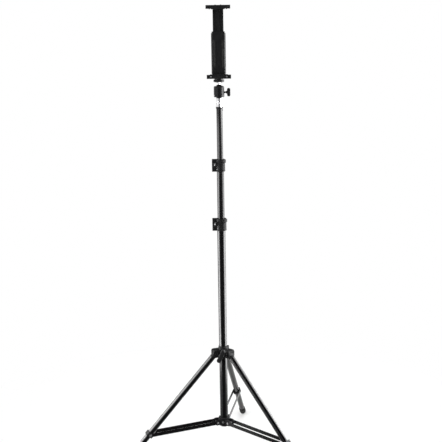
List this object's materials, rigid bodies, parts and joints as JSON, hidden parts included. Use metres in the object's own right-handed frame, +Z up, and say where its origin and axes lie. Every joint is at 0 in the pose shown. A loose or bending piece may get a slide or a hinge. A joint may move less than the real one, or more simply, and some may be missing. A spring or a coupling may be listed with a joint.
{
  "type": "adjustable tablet floor stand",
  "caption": "Folding floor stand with a telescopic column, ball head and sliding-jaw clamp that holds a tablet.",
  "frame": {"origin": "on the floor, under the middle of the footprint of the three feet", "axes": "+Z up along the column, -Y the way the tablet faces, +X to the right of someone looking at the tablet"},
  "size_m": [0.5722, 0.5498, 1.2663],
  "materials": {
    "gloss_black_tube": "gloss",
    "gloss_black_bar": "gloss",
    "black_cast": "satin",
    "black_anodised": "satin",
    "zinc_steel": "bright zinc",
    "polished_chrome": "polished",
    "brass_insert": "turned",
    "black_plastic": "fine grain",
    "satin_plastic": "satin",
    "black_rubber": "matte"
  },
  "bodies": {
    "base_column": {"lower_tube": "gloss_black_tube", "hub": "black_cast", "hub_fasteners": "zinc_steel", "column_end_cap": "black_plastic", "lower_lock_body": "black_plastic", "lower_lock_fasteners": "zinc_steel"},
    "lower_lever": {"lower_lock_lever": "black_plastic", "lower_lock_pin": "zinc_steel"},
    "fold_collar": {"leg_collar": "black_cast", "collar_rivets": "black_anodised"},
    "collar_wing_knob": {"collar_knob": "black_plastic", "collar_knob_stud": "zinc_steel"},
    "middle_column": {"middle_tube": "gloss_black_tube", "middle_tube_bush": "black_plastic", "upper_lock_body": "black_plastic", "upper_lock_fasteners": "zinc_steel"},
    "upper_lever": {"upper_lock_lever": "black_plastic", "upper_lock_pin": "zinc_steel"},
    "upper_column": {"upper_tube": "gloss_black_tube", "upper_tube_bush": "black_plastic", "tube_cap": "black_plastic", "spigot": "polished_chrome", "spigot_screw": "zinc_steel"},
    "ball_head": {"head_housing": "black_anodised", "ball_seat": "black_plastic"},
    "head_wing_knob": {"head_knob": "black_plastic", "head_knob_screw": "zinc_steel"},
    "ball_platform": {"ball": "black_anodised", "ball_stem": "polished_chrome", "head_platform": "black_anodised"},
    "tablet_clamp": {"clamp_body": "satin_plastic", "clamp_cover": "satin_plastic", "clamp_screws": "zinc_steel", "thread_insert": "brass_insert", "lower_jaw_pad": "black_rubber", "spine_pads": "black_rubber"},
    "upper_jaw_slide": {"jaw_slider": "satin_plastic", "upper_jaw": "satin_plastic", "upper_jaw_pad": "black_rubber", "upper_jaw_screws": "black_anodised"},
    "jaw_lock_knob": {"jaw_knob": "black_plastic", "jaw_knob_stud": "zinc_steel"},
    "leg_1": {"leg_1_tube": "gloss_black_tube", "leg_1_top": "black_plastic", "leg_1_bracket": "black_plastic", "leg_1_foot": "black_rubber"},
    "strut_1": {"strut_1_bars": "gloss_black_bar", "strut_1_rivets": "zinc_steel"},
    "leg_2": {"leg_2_tube": "gloss_black_tube", "leg_2_top": "black_plastic", "leg_2_bracket": "black_plastic", "leg_2_foot": "black_rubber"},
    "strut_2": {"strut_2_bars": "gloss_black_bar", "strut_2_rivets": "zinc_steel"},
    "leg_3": {"leg_3_tube": "gloss_black_tube", "leg_3_top": "black_plastic", "leg_3_bracket": "black_plastic", "leg_3_foot": "black_rubber"},
    "strut_3": {"strut_3_bars": "gloss_black_bar", "strut_3_rivets": "zinc_steel"}
  },
  "joints": [
    {"name": "collar_slide", "type": "slide", "parent": "base_column", "child": "fold_collar", "axis": [0, 0, 1], "range_m": [0, 0.276]},
    {"name": "leg_1_hinge", "type": "hinge", "parent": "fold_collar", "child": "leg_1", "pos_m": [0.03402, -0.03184, 0.3292], "axis": [0.9829, -0.184, 0], "range_deg": [-43.36, 0]},
    {"name": "strut_1_hinge", "type": "hinge", "parent": "base_column", "child": "strut_1", "pos_m": [0.03402, -0.03184, 0.1262], "axis": [0.9829, -0.184, 0], "range_deg": [0, 91.04]},
    {"name": "leg_2_hinge", "type": "hinge", "parent": "fold_collar", "child": "leg_2", "pos_m": [0.00866, -0.06143, 0.3292], "axis": [-0.3322, 0.9432, 0], "range_deg": [-43.36, 0]},
    {"name": "strut_2_hinge", "type": "hinge", "parent": "base_column", "child": "strut_2", "pos_m": [0.00866, -0.06143, 0.1262], "axis": [-0.3322, 0.9432, 0], "range_deg": [0, 91.04]},
    {"name": "leg_3_hinge", "type": "hinge", "parent": "fold_collar", "child": "leg_3", "pos_m": [0.04697, -0.0686, 0.3292], "axis": [-0.6508, -0.7593, 0], "range_deg": [-43.36, 0]},
    {"name": "strut_3_hinge", "type": "hinge", "parent": "base_column", "child": "strut_3", "pos_m": [0.04697, -0.0686, 0.1262], "axis": [-0.6508, -0.7593, 0], "range_deg": [0, 91.04]},
    {"name": "collar_knob_turn", "type": "hinge", "parent": "fold_collar", "child": "collar_wing_knob", "pos_m": [0.0262, -0.07362, 0.3292], "axis": [-0.184, -0.9829, 0], "continuous": true},
    {"name": "lower_lever_flip", "type": "hinge", "parent": "base_column", "child": "lower_lever", "pos_m": [0.01528, -0.06621, 0.6932], "axis": [0, 0, -1], "range_deg": [0, 120]},
    {"name": "middle_tube_slide", "type": "slide", "parent": "base_column", "child": "middle_column", "axis": [0, 0, 1], "range_m": [-0.127, 0.3]},
    {"name": "upper_lever_flip", "type": "hinge", "parent": "middle_column", "child": "upper_lever", "pos_m": [0.01678, -0.06621, 0.8532], "axis": [0, 0, -1], "range_deg": [0, 120]},
    {"name": "upper_tube_slide", "type": "slide", "parent": "middle_column", "child": "upper_column", "axis": [0, 0, 1], "range_m": [-0.12, 0.31]},
    {"name": "head_pan", "type": "hinge", "parent": "upper_column", "child": "ball_head", "pos_m": [0.02988, -0.05396, 1.0302], "axis": [0, 0, 1], "continuous": true},
    {"name": "head_knob_turn", "type": "hinge", "parent": "ball_head", "child": "head_wing_knob", "pos_m": [0.04388, -0.05396, 1.0446], "axis": [1, 0, 0], "continuous": true},
    {"name": "ball_tilt", "type": "hinge", "parent": "ball_head", "child": "ball_platform", "pos_m": [0.02988, -0.05396, 1.0552], "axis": [-1, 0, 0], "range_deg": [-35, 90]},
    {"name": "clamp_turn", "type": "hinge", "parent": "ball_platform", "child": "tablet_clamp", "pos_m": [0.02988, -0.05396, 1.077], "axis": [0, 0, 1], "continuous": true},
    {"name": "jaw_slide", "type": "slide", "parent": "tablet_clamp", "child": "upper_jaw_slide", "axis": [0, 0, 1], "range_m": [-0.05, 0.03]},
    {"name": "jaw_knob_turn", "type": "hinge", "parent": "upper_jaw_slide", "child": "jaw_lock_knob", "pos_m": [0.02988, -0.04696, 1.1547], "axis": [0, 1, 0], "continuous": true}
  ],
  "couplings": [
    {"joint": "leg_1_hinge", "follows": "collar_slide", "rad_per_m": -2.7416},
    {"joint": "strut_1_hinge", "follows": "collar_slide", "rad_per_m": 5.7564},
    {"joint": "leg_2_hinge", "follows": "collar_slide", "rad_per_m": -2.7416},
    {"joint": "strut_2_hinge", "follows": "collar_slide", "rad_per_m": 5.7564},
    {"joint": "leg_3_hinge", "follows": "collar_slide", "rad_per_m": -2.7416},
    {"joint": "strut_3_hinge", "follows": "collar_slide", "rad_per_m": 5.7564}
  ]
}
